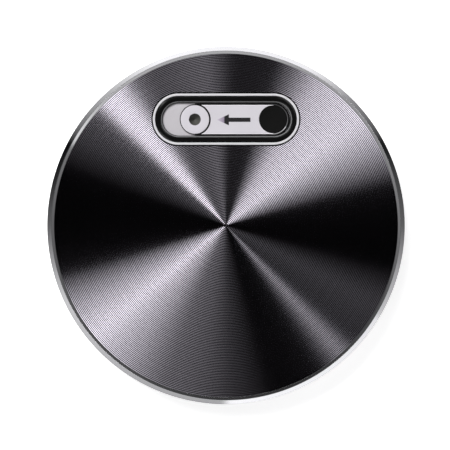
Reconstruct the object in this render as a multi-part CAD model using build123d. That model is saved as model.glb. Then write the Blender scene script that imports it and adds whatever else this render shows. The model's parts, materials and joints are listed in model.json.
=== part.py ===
"""Portable CD player: a round, slim player with a spun metal lid, a polished rim and a sliding lid catch.

Units are millimetres. +Z is up, the origin is the centre of the surface that the feet stand on.
The lid hinges at the -Y edge, and the catch is under the pill-shaped window at the +Y side.
"""
from build123d import *
import os
from math import acos, cos, pi, radians, sin, sqrt, tan

# ---------------------------------------------------------------- driving dimensions
RIM_R = 68.0                  # outside radius of the whole player
DISC_R = 60.0                 # the compact disc that it takes
DISC_HOLE_R = 7.5

# heights, from the table up
FOOT_TOP = 0.8                # underside of the base shell
FLOOR_TOP = 2.3               # inside of the base shell's bottom
BAND_Z = 4.7                  # seam between the base shell and the side band
CHASSIS_Z = (4.2, 4.9)
BOARD_Z = (4.0, 5.0)
BELT_MID = 7.5                # middle of the belt groove with the buttons and sockets
DECK_Z = (10.9, 12.1)
DISC_SEAT = 13.6
LINER_Z = (16.8, 17.8)
SEAM = 17.4                   # top edge of the base
LID_FOOT = 17.6               # bottom edge of the lid
PLATE_Z = (20.4, 21.4)
RIM_TOP = 22.0

# radii
SHELL_R = 67.8
SHELL_IN = 66.1
BELT_R = 67.0
BELT_Z = (5.1, 9.9)
WALL_X = (64.0, 70.0)         # reach of a cut that goes through the wall
BAY_R = DISC_R + 1.5
BAY_OUT = BAY_R + 0.9
PLATE_R = 65.2
CREST_R = 66.35

# lid hinge
HINGE_Y = -64.4
HINGE_Z = 15.4
KNUCKLE_R = 1.9
EAR_X, KNUCKLE_X = 11.3, 7.6  # middles of the deck's ears and of the lid's knuckles
NOTCH_X, NOTCH_Z = 23.0, 12.2 # half width and floor of the notch round the hinge
HINGE_PIN_R = 0.8

# lid window and slider
WINDOW_Y = 40.4
BEZEL_L, BEZEL_H = 55.7, 19.5
BEZEL_TOP = 21.7
WELL_L, WELL_H = 53.9, 17.7
WELL_TOP, WELL_FLANGE = 20.9, 4.8
TRACK_L, TRACK_H = 48.4, 12.4
TRACK_X = 0.2
FLOOR_Z = (18.7, 19.3)
SOLE_Z = (19.5, 20.0)         # black carrier that runs in the track
SOLE_H = 12.1
SLIDER_Z = (20.0, 20.6)       # bright plate on it
SLIDER_H = 11.5
CAP_X, CAP_TOP = -11.85, 20.75      # ring-shaped cap at the slider's left end
CAP_R, CAP_HOLE_R = 5.45, 2.25
CAP_GAP = 0.6                       # between the cap and the bright plate
SOLE_END_R = 5.75                   # the sole shows as a thin dark line round the cap
PAD_X, PAD_R = 17.85, 5.25          # thumb pad at the right end
PAD_DISH_R = 40.0
SLIDER_TRAVEL = 6.4
SPRING_Y, SPRING_Z = 54.0, 19.2     # return spring of the slider
SPRING_X = (-22.0, -9.0)            # its seat in the lid frame, and the latch plate's tab
ARROW_TIP_X, ARROW_NECK_X, ARROW_TAIL_X = -3.35, 1.1, 9.3
ARROW_HEAD, ARROW_SHAFT = 2.1, 0.8
ARROW_Y = WINDOW_Y - 0.2
ARROW_DEPTH = 0.15
LATCH_Z = (18.0, 18.6)
STUD_X = (-4.0, 10.0)         # studs that join the slider to the latch plate
STUD_R, STUD_BORE_R = 1.4, 0.6
STUD_HEAD_Z = 18.35           # the stud screws' heads are sunk up to here
HOOK_X = (10.1, -5.5)         # middle of each hook's shank
HOOK_Y = (62.8, 64.0)
HOOK_FOOT_Z = (14.3, 15.5)

# disc drive
LENS_Y = 24.0                 # objective lens over the disc's inner track, sled at rest
LENS_TOP = 12.75
ROD_X = 13.0
ROD_Z = 8.2
ROD_R = 1.25
RACK_PITCH_X = -19.0
BALL_ANGLES, BALL_Z = (90, 210, 330), 14.9
GEAR_Y = 24.0
RACK_MODULE, PINION_TEETH = 0.5, 16
WHEEL_MODULE, WHEEL_TEETH, MOTOR_TEETH = 0.4, 36, 12
GEAR_X = RACK_PITCH_X - RACK_MODULE * PINION_TEETH / 2
MOTOR_ARM = WHEEL_MODULE * (WHEEL_TEETH + MOTOR_TEETH) / 2
MOTOR_ANGLE = 135.0           # direction from the drive gear to the sled motor
MOTOR_X = GEAR_X + MOTOR_ARM * cos(radians(MOTOR_ANGLE))
MOTOR_Y = GEAR_Y + MOTOR_ARM * sin(radians(MOTOR_ANGLE))
RACK_Z = (6.6, 8.2)
WHEEL_Z = (5.3, 6.3)

# battery bay and door
CELL = (67.3, 17.0, 6.1)
CELL_Y = (-43.3, -25.9)
DOOR_X = 35.5                 # half length of the door
DOOR_Y0 = -52.6
DOOR_PIVOT_Y, DOOR_PIVOT_Z, DOOR_EDGE_R = -16.6, 1.9, 1.1
DOOR_TOP = 2.2
GAP = 0.25

# buttons and sockets, and their positions round the body in degrees from +X
BUTTON = (8.0, 3.0)
SOCKET = (5.6, 4.4)           # width and height of each socket's face
BUTTON_ANGLES = {"previous_button": 140, "play_button": 156, "next_button": 172,
                 "stop_button": 188, "volume_down_button": 204, "volume_up_button": 220}
HOLD_ANGLE = 20.0
DC_ANGLE = -20.0
SCREW_ANGLES = (35, 145, 200, 270, 330)
SCREW_CIRCLE_R = 59.8
SCREW_HEAD_Z = 2.0            # the base screws' heads are sunk up to here
PILLAR_TOP = 3.6              # top of the shell's pillars; the deck's bosses stand just over them
FOOT_ANGLES = (45, 135, 225, 315)
FOOT_CIRCLE_R = 57.0
FOOT_R, FOOT_SEAT = 3.4, 1.1        # the feet are let into the shell up to here
LID_SCREW_ANGLES = (15, 60, 120, 165, 225, 315)
LID_SCREW_CIRCLE_R = 58.8
LID_HEAD_Z = 17.35            # the lid screws' heads are sunk up to here
DAMPERS = ((-31.0, -9.0), (16.0, -9.0), (-29.0, 52.0), (17.0, 54.0))
BOARD_SCREWS = ((26.0, -8.0), (26.0, 46.0), (50.0, 12.0))


# ---------------------------------------------------------------- shape helpers
def turned(*points, rounded=()):
    """Solid of revolution about Z from (radius, height) corners, some of them rounded: (corner, radius)."""
    profile = make_face(Polyline(*[(r, 0, z) for r, z in points], close=True))
    for (r, z), radius in rounded:
        corner = profile.vertices().sort_by_distance((r, 0, z))[0]
        profile = fillet(corner, radius)
    return revolve(profile, Axis.Z, 360)


def block(x, y, z):
    """Box from three (low, high) pairs."""
    size = [high - low for low, high in (x, y, z)]
    middle = [(low + high) / 2 for low, high in (x, y, z)]
    return Pos(*middle) * Box(*size)


def post(radius, z, x=0.0, y=0.0):
    """Upright cylinder between two heights."""
    return Pos(x, y, (z[0] + z[1]) / 2) * Cylinder(radius, z[1] - z[0])


def bar_x(radius, x, y, z):
    return Pos((x[0] + x[1]) / 2, y, z) * Rot(0, 90, 0) * Cylinder(radius, x[1] - x[0])


def bar_y(radius, y, x, z):
    return Pos(x, (y[0] + y[1]) / 2, z) * Rot(90, 0, 0) * Cylinder(radius, y[1] - y[0])


def pill(length, height, z, x=0.0, y=WINDOW_Y):
    """Upright prism with a stadium outline, its length along X."""
    return Pos(x, y, z[0]) * extrude(SlotOverall(length, height), z[1] - z[0])


def radial_pill(width, height, x, z):
    """Stadium prism that points along +X, its length along Y."""
    outline = Plane(origin=(x[0], 0, z), x_dir=(0, 1, 0), z_dir=(1, 0, 0)) * SlotOverall(width, height)
    return extrude(outline, x[1] - x[0])


def cross_recess(reach, half_width, z, x):
    """Cross-shaped hole for a screwdriver, centred on the X axis."""
    slot = block((x - reach, x + reach), (-half_width, half_width), z)
    return slot + block((x - half_width, x + half_width), (-reach, reach), z)


def radial_face(width, height, x):
    """Prism with a rounded oblong outline that points along +X at the belt's height."""
    plane = Plane(origin=(x[0], 0, BELT_MID), x_dir=(0, 1, 0), z_dir=(1, 0, 0))
    return extrude(plane * RectangleRounded(width, height, 1), x[1] - x[0])


def round_the_axis(shape, angles):
    """Copies of a shape, which is made at the +X side, turned to each angle."""
    return [Rot(0, 0, a) * shape for a in angles]


def joined(shapes):
    """One shape from overlapping or separate ones."""
    whole = shapes[0]
    for shape in shapes[1:]:
        whole = whole + shape
    return whole


def group(shapes):
    """Several separate solids as one node."""
    return Compound(children=[solid for shape in shapes for solid in shape.solids()])


def gear(module, teeth, z, first_tooth=0.0, backlash=0.08, tip=0.8, root=1.15):
    """Spur gear about its own Z axis, with involute flanks and its first tooth at an angle in degrees."""
    pitch_r = module * teeth / 2
    base_r = pitch_r * cos(radians(20))
    tip_r, root_r = pitch_r + tip * module, pitch_r - root * module
    half_tooth = pi / (2 * teeth) - backlash / (2 * pitch_r)

    def half_angle(radius):
        def involute(angle):
            return tan(angle) - angle
        return half_tooth + involute(radians(20)) - involute(acos(min(1.0, base_r / radius)))

    start_r = max(base_r, root_r)
    flank = [start_r + (tip_r - start_r) * step / 3 for step in range(4)]
    corners = []
    for tooth in range(teeth):
        centre = radians(first_tooth) + 2 * pi * tooth / teeth
        rising = [(r, centre - half_angle(r)) for r in flank]
        falling = [(r, centre + half_angle(r)) for r in reversed(flank)]
        if root_r < start_r:
            rising.insert(0, (root_r, rising[0][1]))
            falling.append((root_r, falling[-1][1]))
        corners += rising + falling
    outline = Polyline(*[(r * cos(a), r * sin(a)) for r, a in corners], close=True)
    return Pos(0, 0, z[0]) * extrude(make_face(outline), z[1] - z[0])


# ---------------------------------------------------------------- base
def base_shell():
    """Bottom of the body: a shallow tray with the battery bay and the pillars for what is inside."""
    shell = turned((0, FOOT_TOP), (SHELL_R, FOOT_TOP), (SHELL_R, BAND_Z), (SHELL_IN, BAND_Z),
                   (SHELL_IN, FLOOR_TOP), (0, FLOOR_TOP),
                   rounded=(((SHELL_R, FOOT_TOP), 3.4), ((SHELL_IN, FLOOR_TOP), 1.6)))

    # battery bay: four walls round the cells, and the opening that the door fills
    bay_y = (DOOR_Y0 - GAP, DOOR_PIVOT_Y + DOOR_EDGE_R + GAP)
    bay_x = DOOR_X + GAP
    walls = block((-bay_x - 0.9, bay_x + 0.9), (bay_y[0] - 0.9, bay_y[1] + 0.9), (FLOOR_TOP, 10.6))
    walls -= block((-bay_x, bay_x), bay_y, (FLOOR_TOP, 10.6))
    shell += walls
    shell -= block((-bay_x, bay_x), bay_y, (FOOT_TOP, FLOOR_TOP))
    pivot_x = bay_x + 0.7
    shell -= bar_x(0.66, (-pivot_x, pivot_x), DOOR_PIVOT_Y, DOOR_PIVOT_Z)

    # screw pillars, damper pegs and board pillars
    pillar = post(2.5, (FLOOR_TOP, PILLAR_TOP), SCREW_CIRCLE_R)
    shell = joined([shell] + round_the_axis(pillar, SCREW_ANGLES))
    shell = joined([shell] + [post(2.4, (FLOOR_TOP, 3.3), x, y) for x, y in DAMPERS])
    shell = joined([shell] + [post(0.8, (3.3, 6.2), x, y) for x, y in DAMPERS])
    shell = joined([shell] + [post(2.0, (FLOOR_TOP, BOARD_Z[0]), x, y) for x, y in BOARD_SCREWS])
    for hole in round_the_axis(post(1.0, (FOOT_TOP, PILLAR_TOP), SCREW_CIRCLE_R), SCREW_ANGLES):
        shell -= hole
    for hole in round_the_axis(post(2.1, (FOOT_TOP, SCREW_HEAD_Z), SCREW_CIRCLE_R), SCREW_ANGLES):
        shell -= hole
    for x, y in BOARD_SCREWS:
        shell -= post(0.7, (FLOOR_TOP, BOARD_Z[0]), x, y)
    for recess in round_the_axis(post(FOOT_R + 0.1, (FOOT_TOP, FOOT_SEAT), FOOT_CIRCLE_R), FOOT_ANGLES):
        shell -= recess
    return shell


def side_band():
    """Wall of the body, with a belt groove for the buttons, the sockets and the hold slide."""
    band = turned((SHELL_IN, BAND_Z), (SHELL_R, BAND_Z), (BELT_R, BELT_Z[0]), (BELT_R, BELT_Z[1]),
                  (SHELL_R, BELT_Z[1] + 0.4), (SHELL_R, SEAM), (SHELL_IN, SEAM))
    button_hole = radial_pill(BUTTON[0] + 0.3, BUTTON[1] + 0.3, WALL_X, BELT_MID)
    for hole in round_the_axis(button_hole, BUTTON_ANGLES.values()):
        band -= hole
    for window in round_the_axis(radial_face(SOCKET[0] + 0.2, SOCKET[1] + 0.2, WALL_X), (0, DC_ANGLE)):
        band -= window
    band -= Rot(0, 0, HOLD_ANGLE) * block(WALL_X, (-1.1, 3.6), (BELT_MID - 0.65, BELT_MID + 0.65))
    # room at the back for the lid's hinge
    band -= block((-NOTCH_X, NOTCH_X), (-70, -60), (NOTCH_Z, SEAM + 1))
    return band


def upper_deck():
    """Moulded disc well: floor, bay wall and the flat rim that the lid closes on."""
    deck = turned((0, DECK_Z[0]), (BAY_OUT, DECK_Z[0]), (BAY_OUT, 16.2), (66.0, 16.2), (66.0, SEAM),
                  (BAY_R, SEAM), (BAY_R, DECK_Z[1]), (0, DECK_Z[1]))
    # a shallow step rings the floor, as on most disc wells
    deck -= turned((24, 11.8), (44, 11.8), (44, DECK_Z[1]), (24, DECK_Z[1]))
    deck -= post(15.2, DECK_Z)
    pickup_slot = block((-8.5, 8.5), (0, 60.9), DECK_Z)
    deck -= fillet(pickup_slot.edges().filter_by(Axis.Z), 2.5)
    # the back rim is cut away over the hinge
    deck -= block((-NOTCH_X, NOTCH_X), (-70, -BAY_OUT), (NOTCH_Z, SEAM + 1)) - post(BAY_OUT, (12, SEAM + 2))
    for x in (-EAR_X, EAR_X):
        web = block((x - 1.5, x + 1.5), (HINGE_Y, -60.0), (12.4, HINGE_Z)) - post(BAY_OUT - 0.4, (12, 16))
        ear = web + bar_x(KNUCKLE_R, (x - 1.5, x + 1.5), HINGE_Y, HINGE_Z)
        deck += ear
    deck -= bar_x(HINGE_PIN_R, (-14, 14), HINGE_Y, HINGE_Z)
    # slots that the two hooks of the latch go down through
    for x in HOOK_X:
        slot_x, slot_y = (x - 1.5 - SLIDER_TRAVEL, x + 1.5), (HOOK_Y[0] - 0.25, HOOK_Y[1] + 0.35)
        deck -= block(slot_x, slot_y, (16, SEAM + 1))
    # screw bosses
    foot = PILLAR_TOP + 0.1
    boss = post(2.2, (foot, DECK_Z[0]), SCREW_CIRCLE_R)
    deck = joined([deck] + round_the_axis(boss, SCREW_ANGLES))
    for hole in round_the_axis(post(0.9, (foot, 9.5), SCREW_CIRCLE_R), SCREW_ANGLES):
        deck -= hole
    return deck


def rubber_feet():
    return group(round_the_axis(post(FOOT_R, (0, FOOT_SEAT), FOOT_CIRCLE_R), FOOT_ANGLES))


def base_screws():
    low = 1.1
    screw = post(1.9, (low, SCREW_HEAD_Z), SCREW_CIRCLE_R) + post(0.9, (SCREW_HEAD_Z, 8.8), SCREW_CIRCLE_R)
    screw -= cross_recess(1.2, 0.22, (low, low + 0.4), SCREW_CIRCLE_R)
    return group(round_the_axis(screw, SCREW_ANGLES))


def latch_catches():
    """Steel plates under the deck's rim that the hooks pull against."""
    y = (HOOK_Y[0] - 0.25, HOOK_Y[1] + 0.35)
    return group([block((x + 1.7, x + 4.8), y, (15.7, 16.2)) for x in HOOK_X])


def rim_bumpers():
    return group(round_the_axis(post(1.2, (SEAM, 17.55), 63.9), (25, 155, 215, 325)))


def hinge_pin():
    return bar_x(HINGE_PIN_R, (-12.8, 12.8), HINGE_Y, HINGE_Z)


def hinge_spring():
    """Torsion spring that lifts the lid: a coil round the pin, with one leg against the deck."""
    wire, coil_r, turns, pitch = 0.2, 1.25, 9, 0.8
    coil = Pos(-turns * pitch / 2, HINGE_Y, HINGE_Z) * Rot(0, 90, 0) * Helix(pitch, turns * pitch, coil_r)
    start = coil @ 0
    leg = bar_y(wire, (HINGE_Y, -62.5), start.X, start.Z)
    return sweep(Plane(origin=start, z_dir=coil % 0) * Circle(wire), path=coil) + leg


def battery_cells():
    cells = []
    length, width, height = CELL
    for y in CELL_Y:
        can = block((-length / 2, length / 2 - 0.8), (y - width / 2, y + width / 2), (2.4, 2.4 + height))
        can = fillet(can.edges().filter_by(Axis.X), 1.2)
        nub = block((length / 2 - 0.8, length / 2), (y - 3, y + 3), (4.2, 6.7))
        cells.append(can + nub)
    return group(cells)


def battery_contacts():
    """Flat contacts at the positive ends and bowed leaf springs at the negative ends."""
    inner = DOOR_X + GAP
    plates = []
    for y in CELL_Y:
        plates.append(block((CELL[0] / 2, inner), (y - 5, y + 5), (3.4, 9.4)))
        leaf = block((-inner, -inner + 0.4), (y - 5, y + 5), (3.4, 9.4))
        leaf += block((-inner + 0.4, -CELL[0] / 2), (y - 1.6, y + 1.6), (4.4, 6.6))
        plates.append(leaf)
    return group(plates)


def battery_door():
    """Flap on the underside, hinged on two stub pins."""
    door = block((-DOOR_X, DOOR_X), (DOOR_Y0, DOOR_PIVOT_Y), (FOOT_TOP, DOOR_TOP))
    corners = door.edges().filter_by(Axis.Z).sort_by(Axis.Y)[:2]
    door = fillet(corners, 3.0)
    door += bar_x(DOOR_EDGE_R, (-DOOR_X, DOOR_X), DOOR_PIVOT_Y, DOOR_PIVOT_Z)
    door += bar_x(0.6, (-DOOR_X - 0.85, DOOR_X + 0.85), DOOR_PIVOT_Y, DOOR_PIVOT_Z)
    # a finger recess and three grip lines near the free edge
    door -= pill(16, 5, (FOOT_TOP, FOOT_TOP + 0.5), 0, DOOR_Y0 + 6)
    for step in range(3):
        y = DOOR_Y0 + 11 + 1.6 * step
        door -= block((-7, 7), (y, y + 0.5), (FOOT_TOP, FOOT_TOP + 0.3))
    return door


# ---------------------------------------------------------------- electronics and controls
def main_board():
    board = post(61.0, BOARD_Z) & block((21.5, 61), (-13.2, 50), BOARD_Z)
    for boss in round_the_axis(post(3.0, BOARD_Z, SCREW_CIRCLE_R), SCREW_ANGLES):
        board -= boss
    for x, y in BOARD_SCREWS:
        board -= post(0.85, BOARD_Z, x, y)
    return board


def board_screws():
    top = BOARD_Z[1]
    return group([post(1.5, (top, 5.7), x, y) + post(0.7, (2.6, top), x, y) for x, y in BOARD_SCREWS])


def board_parts():
    """Chips, capacitors and a crystal that stand on the main board."""
    top = BOARD_Z[1]
    chips = [block((30, 44), (14, 28), (top, top + 1.4)), block((28, 34), (-4, 6), (top, top + 1.0)),
             block((28, 36), (33, 41), (top, top + 1.2)), block((46, 50), (22, 26), (top, top + 1.1)),
             block((24, 27), (26, 36), (top, top + 1.6)), block((36, 40), (4, 9), (top, top + 1.6))]
    cans = [post(2.4, (top, top + 4.6), x, y) for x, y in ((41, -3), (46.5, -5.5), (40, 34))]
    return group(chips + cans)


def headphone_jack():
    jack = block((53, 65.5), (-3.1, 3.1), (BOARD_Z[1], 10.0)) + radial_face(*SOCKET, (65.5, 67.5))
    return jack - bar_x(1.8, (54.5, 67.6), 0, BELT_MID)


def dc_jack():
    jack = block((56, 65.3), (-3.3, 3.3), (BOARD_Z[1], 10.0)) + radial_face(*SOCKET, (65.3, 67.5))
    jack -= bar_x(2.1, (58, 67.6), 0, BELT_MID)
    return Rot(0, 0, DC_ANGLE) * (jack + bar_x(0.8, (57.5, 66.8), 0, BELT_MID))


def hold_switch():
    body = block((60.6, 64.6), (-4.0, 6.4), (BOARD_Z[1], 9.6))
    body -= block((62.6, 64.7), (-1.4, 3.9), (BELT_MID - 0.8, BELT_MID + 0.8))
    return Rot(0, 0, HOLD_ANGLE) * body


def hold_knob():
    knob = block((67.1, 67.75), (-2.2, 2.2), (BELT_MID - 1.2, BELT_MID + 1.2))
    knob = fillet(knob.edges().filter_by(Axis.X), 0.5)
    for step in (-1.1, -0.3, 0.5):
        knob -= block((67.5, 67.8), (step, step + 0.4), (BELT_MID - 0.9, BELT_MID + 0.9))
    knob += block((62.8, 67.1), (-0.8, 0.8), (BELT_MID - 0.5, BELT_MID + 0.5))
    return Rot(0, 0, HOLD_ANGLE) * knob


def belt_button(angle):
    """Oblong button whose face follows the body, kept in by a flange behind the wall."""
    cap = radial_pill(*BUTTON, (65.6, 68.5), BELT_MID) & post(SHELL_R - 0.08, BELT_Z)
    flange = radial_pill(BUTTON[0] + 1.4, BUTTON[1] + 1.2, (65.3, 66.2), BELT_MID) & post(65.95, BELT_Z)
    return Rot(0, 0, angle) * (cap + flange)


def button_board():
    """Curved strip that carries the switches behind the buttons."""
    strip = turned((62.5, 5.0), (63.0, 5.0), (63.0, 10.4), (62.5, 10.4))
    reach = [sin(radians(180 - a)) for a in (min(BUTTON_ANGLES.values()), max(BUTTON_ANGLES.values()))]
    return strip & block((-64, -40), (63 * reach[1] - 5, 63 * reach[0] + 5), (4, 11))


def button_switches():
    switch = block((63.1, 64.2), (-1.6, 1.6), (BELT_MID - 1.5, BELT_MID + 1.5))
    switch += bar_x(0.9, (64.2, 64.75), 0, BELT_MID)
    return group(round_the_axis(switch, BUTTON_ANGLES.values()))


# ---------------------------------------------------------------- disc drive
def drive_chassis():
    plate = block((-36, 19), (-13.2, 64), CHASSIS_Z) & post(65.6, CHASSIS_Z)
    for x, y in DAMPERS:
        plate -= post(1.65, CHASSIS_Z, x, y)
    for x in (-ROD_X, ROD_X):
        for y in ((8.6, 10.4), (62.2, 63.6)):
            plate += block((x - 2.1, x + 2.1), y, (CHASSIS_Z[1], 10.2))
        plate -= bar_y(ROD_R, (8, 64), x, ROD_Z)
    # bracket that holds the sled motor over its pinion
    bracket = block((MOTOR_X - 5.4, MOTOR_X + 3.8), (MOTOR_Y - 1.8, MOTOR_Y + 6.2), (6.5, 6.9))
    bracket += block((MOTOR_X - 5.4, MOTOR_X - 4.6), (MOTOR_Y - 1.8, MOTOR_Y + 6.2), (CHASSIS_Z[1], 6.5))
    bracket += block((MOTOR_X - 5.4, MOTOR_X + 3.8), (MOTOR_Y + 5.4, MOTOR_Y + 6.2), (CHASSIS_Z[1], 6.5))
    bracket -= post(1.6, (6, 7), MOTOR_X, MOTOR_Y)
    return plate + bracket


def chassis_dampers():
    dampers = []
    for x, y in DAMPERS:
        spool = post(2.6, (3.3, CHASSIS_Z[0]), x, y) + post(1.6, CHASSIS_Z, x, y)
        spool += post(2.6, (CHASSIS_Z[1], 5.8), x, y)
        dampers.append(spool - post(0.8, (3, 6), x, y))
    return group(dampers)


def guide_rods():
    return group([bar_y(ROD_R, (8.4, 63.6), x, ROD_Z) for x in (-ROD_X, ROD_X)])


def spindle_motor():
    can = fillet(post(10.5, (CHASSIS_Z[1], 10.3)).edges().filter_by(GeomType.CIRCLE).sort_by(Axis.Z)[-1], 0.8)
    return can - post(1.06, (5.4, 11))


def spindle_shaft():
    return post(1.0, (5.5, 15.6))


def turntable():
    """Platter and centring hub, with three pockets for the spring-loaded balls."""
    hub_r = DISC_HOLE_R - 0.1
    hub = turned((1.0, 10.8), (6.0, 10.8), (6.0, 12.5), (14.3, 12.5), (14.3, 13.3), (hub_r, 13.3),
                 (hub_r, 15.2), (hub_r - 0.7, 15.9), (1.0, 15.9))
    for pocket in round_the_axis(bar_x(1.0, (4.2, 8.0), 0, BALL_Z), BALL_ANGLES):
        hub -= pocket
    return hub


def disc_pad():
    return turned((10.6, 13.3), (14.2, 13.3), (14.2, DISC_SEAT), (10.6, DISC_SEAT))


def chuck_balls():
    """Balls in the hub's pockets that click into the disc's hole."""
    return group(round_the_axis(Pos(6.75, 0, BALL_Z) * Sphere(0.95), BALL_ANGLES))


def sled_motor():
    can = post(4.7, (6.9, 10.5), MOTOR_X, MOTOR_Y)
    return can - post(0.8, (6.8, 9.5), MOTOR_X, MOTOR_Y)


def motor_pinion():
    facing = MOTOR_ANGLE + 180
    pinion = gear(WHEEL_MODULE, MOTOR_TEETH, WHEEL_Z, facing + 180 / MOTOR_TEETH)
    return Pos(MOTOR_X, MOTOR_Y, 0) * (pinion + post(0.75, (5.1, 9.0)))


def drive_gear():
    wheel = gear(WHEEL_MODULE, WHEEL_TEETH, WHEEL_Z, MOTOR_ANGLE)
    pinion = gear(RACK_MODULE, PINION_TEETH, (6.5, 8.3))
    whole = wheel + post(3.2, (6.3, 6.5)) + pinion
    return Pos(GEAR_X, GEAR_Y, 0) * (whole - post(1.05, (5, 9)))


def gear_axle():
    return post(1.0, (CHASSIS_Z[1], 8.9), GEAR_X, GEAR_Y) + post(1.8, (8.45, 8.75), GEAR_X, GEAR_Y)


def pickup_rack():
    """Toothed rack along the sled's side, its pitch line tangent to the drive gear's pinion."""
    pitch = pi * RACK_MODULE
    tip_x = RACK_PITCH_X - 0.7 * RACK_MODULE
    root_x = RACK_PITCH_X + 1.1 * RACK_MODULE
    low, high = -12.0, 27.0
    slope = tan(radians(20))
    half = pitch / 4 - 0.04
    corners = [(root_x, low)]
    first = int((low - GEAR_Y) / pitch) - 1
    for step in range(first, 60):
        middle = GEAR_Y + (step + 0.5) * pitch
        if middle - pitch / 2 < low or middle + pitch / 2 > high:
            continue
        at_root = half + (root_x - RACK_PITCH_X) * slope
        at_tip = half - (RACK_PITCH_X - tip_x) * slope
        corners += [(root_x, middle - at_root), (tip_x, middle - at_tip),
                    (tip_x, middle + at_tip), (root_x, middle + at_root)]
    corners += [(root_x, high), (-16.4, high), (-16.4, low)]
    bar = Pos(0, 0, RACK_Z[0]) * extrude(make_face(Polyline(*corners, close=True)), RACK_Z[1] - RACK_Z[0])
    return bar + block((-16.4, -15.1), (14, 27), RACK_Z)


def pickup_sled():
    """Die-cast carriage that runs on the rods and carries the lens unit."""
    y = (12.0, LENS_Y + 4.2)
    body = block((-9, 9), y, (5.4, 10.4))
    body += block((-15.1, -9), y, (6.4, 10.2))
    body -= bar_y(ROD_R + 0.05, (11, 29), -ROD_X, ROD_Z)
    body += block((9, 14.6), y, (6.2, 10.2))
    body -= block((ROD_X - ROD_R - 0.1, 15), (11, 29), (ROD_Z - ROD_R - 0.05, ROD_Z + ROD_R + 0.05))
    body += block((-6.5, 6.5), (LENS_Y - 4.4, LENS_Y + 3.4), (10.4, 12.0))
    body -= block((-5.2, 5.2), (LENS_Y - 3.7, LENS_Y + 2.8), (9.6, 12.1))
    return body


def pickup_board():
    return block((-8, 8), (13, 27), (5.15, 5.4))


def lens_holder():
    holder = block((-4.2, 4.2), (LENS_Y - 3.2, LENS_Y + 2.3), (10.3, 12.1))
    holder += post(2.7, (12.1, 12.5), 0, LENS_Y)
    return holder - post(2.0, (11.9, 12.6), 0, LENS_Y)


def objective_lens():
    """Plano-convex lens seated in the holder."""
    curve_r = 4.0
    return Pos(0, LENS_Y, LENS_TOP - curve_r) * Sphere(curve_r) & post(2.0, (11.9, LENS_TOP), 0, LENS_Y)


# ---------------------------------------------------------------- lid
def rim_ring():
    """Polished band round the lid, with a wide outer and a narrow inner bevel."""
    return turned((66.2, LID_FOOT), (RIM_R, LID_FOOT), (RIM_R, 20.5), (CREST_R, RIM_TOP), (65.35, 21.35),
                  (65.35, PLATE_Z[0]), (66.2, PLATE_Z[0]))


def lid_plate():
    """Spun metal disc with the window for the slider."""
    return post(PLATE_R, PLATE_Z) - pill(BEZEL_L + 0.2, BEZEL_H + 0.2, PLATE_Z)


def window_bezel():
    """Bright frame of the window, bevelled on both sides."""
    frame = pill(BEZEL_L, BEZEL_H, (PLATE_Z[0], BEZEL_TOP)) - pill(WELL_L, WELL_H, (PLATE_Z[0], BEZEL_TOP))
    top = frame.faces().sort_by(Axis.Z)[-1]
    return chamfer(top.edges(), 0.25)


def switch_well():
    """Black tray inside the frame, with the slot that the slider runs in."""
    tray = pill(WELL_L + WELL_FLANGE, WELL_H + WELL_FLANGE, (FLOOR_Z[1], PLATE_Z[0] - 0.05))
    tray += pill(WELL_L - 0.06, WELL_H - 0.06, (FLOOR_Z[1], WELL_TOP))
    tray -= pill(TRACK_L, TRACK_H, (FLOOR_Z[1], WELL_TOP), TRACK_X)
    mouth = tray.faces().sort_by(Axis.Z)[-1].inner_wires()[0].edges()
    return chamfer(mouth, 0.55)


def track_floor():
    """Pale floor under the slider, slotted for its two studs."""
    floor = pill(WELL_L + WELL_FLANGE, WELL_H + WELL_FLANGE, FLOOR_Z)
    for x in STUD_X:
        floor -= pill(3.2 + SLIDER_TRAVEL, 3.2, FLOOR_Z, x - SLIDER_TRAVEL / 2)
    return floor


def lid_frame():
    """Moulded ring behind the lid's edge: it carries the plate, the rim and the hinge knuckles."""
    frame = turned((57, LINER_Z[1]), (61.1, LINER_Z[1]), (61.1, LID_FOOT), (66.15, LID_FOOT),
                   (66.15, PLATE_Z[0]), (57, PLATE_Z[0]))
    low_x, high_x = HOOK_X[1] - 1.6 - SLIDER_TRAVEL, HOOK_X[0] + 3.6
    frame -= block((low_x, high_x), (50, HOOK_Y[1] + 0.5), (LID_FOOT - 1, LATCH_Z[1] + 0.15))
    # pocket for the slider's spring and the latch plate's tab
    frame -= block((SPRING_X[0], -7.4), (SPRING_Y - 1.5, SPRING_Y + 1.5), (LINER_Z[1] - 1, PLATE_Z[0] - 0.15))
    for x in (-KNUCKLE_X, KNUCKLE_X):
        span = (x - 1.95, x + 1.95)
        knuckle = block(span, (HINGE_Y - 0.8, HINGE_Y + 1.6), (HINGE_Z, LID_FOOT + 0.1))
        knuckle += bar_x(KNUCKLE_R, span, HINGE_Y, HINGE_Z)
        frame += knuckle
    frame -= bar_x(HINGE_PIN_R + 0.05, (-10, 10), HINGE_Y, HINGE_Z)
    # room over the torsion spring's coil
    frame -= bar_x(2.6, (-5.6, 5.6), HINGE_Y, HINGE_Z)
    for hole in round_the_axis(post(0.8, (17.7, 19.6), LID_SCREW_CIRCLE_R), LID_SCREW_ANGLES):
        frame -= hole
    return frame


def lid_liner():
    """Smooth inner cover of the lid, dished over the hub."""
    liner = post(61.0, LINER_Z) - post(11.0, (LINER_Z[0], LINER_Z[0] + 0.4))
    liner -= turned((20, LINER_Z[0]), (20.6, LINER_Z[0]), (20.6, LINER_Z[0] + 0.25), (20, LINER_Z[0] + 0.25))
    for hole in round_the_axis(post(0.85, (16, 18), LID_SCREW_CIRCLE_R), LID_SCREW_ANGLES):
        liner -= hole
    for head in round_the_axis(post(1.7, (16, LID_HEAD_Z), LID_SCREW_CIRCLE_R), LID_SCREW_ANGLES):
        liner -= head
    return liner


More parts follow.
